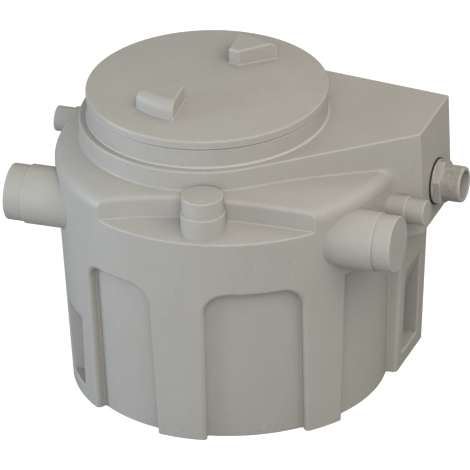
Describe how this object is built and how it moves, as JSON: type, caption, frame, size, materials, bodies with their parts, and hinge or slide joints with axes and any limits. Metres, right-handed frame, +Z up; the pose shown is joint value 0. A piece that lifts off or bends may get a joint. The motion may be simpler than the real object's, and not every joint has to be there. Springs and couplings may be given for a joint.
{
  "type": "grey water lifting station",
  "caption": "Round plastic collecting tank with a domed screw lid, side and top pipe spigots, a delivery box with a threaded outlet, and a submersible pump with riser and check valve inside.",
  "frame": {"origin": "centre of the round tank on the floor", "axes": "+Z up, +X towards the discharge along the side spigots, +Y to the back"},
  "size_m": [0.845, 0.6708, 0.642],
  "materials": {
    "tank_plastic": "matt moulded light grey",
    "lid_plastic": "matt moulded light grey",
    "fitting_plastic": "matt light grey",
    "pipe_plastic": "satin dark grey",
    "valve_plastic": "satin dark grey",
    "pump_plastic": "matt black",
    "impeller_plastic": "satin black",
    "float_plastic": "satin orange",
    "seal_rubber": "matt black",
    "ball_rubber": "matt",
    "steel": "brushed",
    "iron": "laminated iron"
  },
  "bodies": {
    "station": {"tank": "tank_plastic", "tank_floor": "tank_plastic", "tank_neck": "tank_plastic", "discharge_nipple": "fitting_plastic", "discharge_washer": "seal_rubber", "discharge_nut": "fitting_plastic", "inner_gasket": "seal_rubber", "union_nut": "fitting_plastic", "top_elbow": "pipe_plastic", "riser_top": "pipe_plastic", "check_valve": "valve_plastic", "check_cap": "valve_plastic", "riser_low": "pipe_plastic", "outlet_elbow": "pipe_plastic", "volute": "pump_plastic", "strainer": "pump_plastic", "bearing_plate": "pump_plastic", "motor_housing": "steel", "stator": "iron", "motor_cap": "pump_plastic", "pump_handle": "steel", "pump_gland": "pump_plastic", "float_bracket": "pump_plastic"},
    "seal": {"lid_seal": "seal_rubber"},
    "lid": {"lid": "lid_plastic"},
    "ball": {"check_ball": "ball_rubber"},
    "pump_rotor": {"pump_shaft": "steel", "rotor": "iron", "impeller": "impeller_plastic"},
    "float": {"float_arm": "steel", "float_ball": "float_plastic"}
  },
  "joints": [
    {"name": "lid_lift", "type": "slide", "parent": "station", "child": "seal", "axis": [0, 0, 1], "range_m": [0, 0.3]},
    {"name": "lid_turn", "type": "hinge", "parent": "seal", "child": "lid", "pos_m": [-0.041, 0, 0.59], "axis": [0, 0, 1], "continuous": true},
    {"name": "ball_lift", "type": "slide", "parent": "station", "child": "ball", "axis": [-0.7071, 0, 0.7071], "range_m": [0, 0.06]},
    {"name": "pump_spin", "type": "hinge", "parent": "station", "child": "pump_rotor", "pos_m": [0, 0.06, 0.1], "axis": [0, 0, 1], "continuous": true},
    {"name": "float_swing", "type": "hinge", "parent": "station", "child": "float", "pos_m": [-0.102, 0.06, 0.212], "axis": [0, 1, 0], "range_deg": [0, 75]}
  ]
}
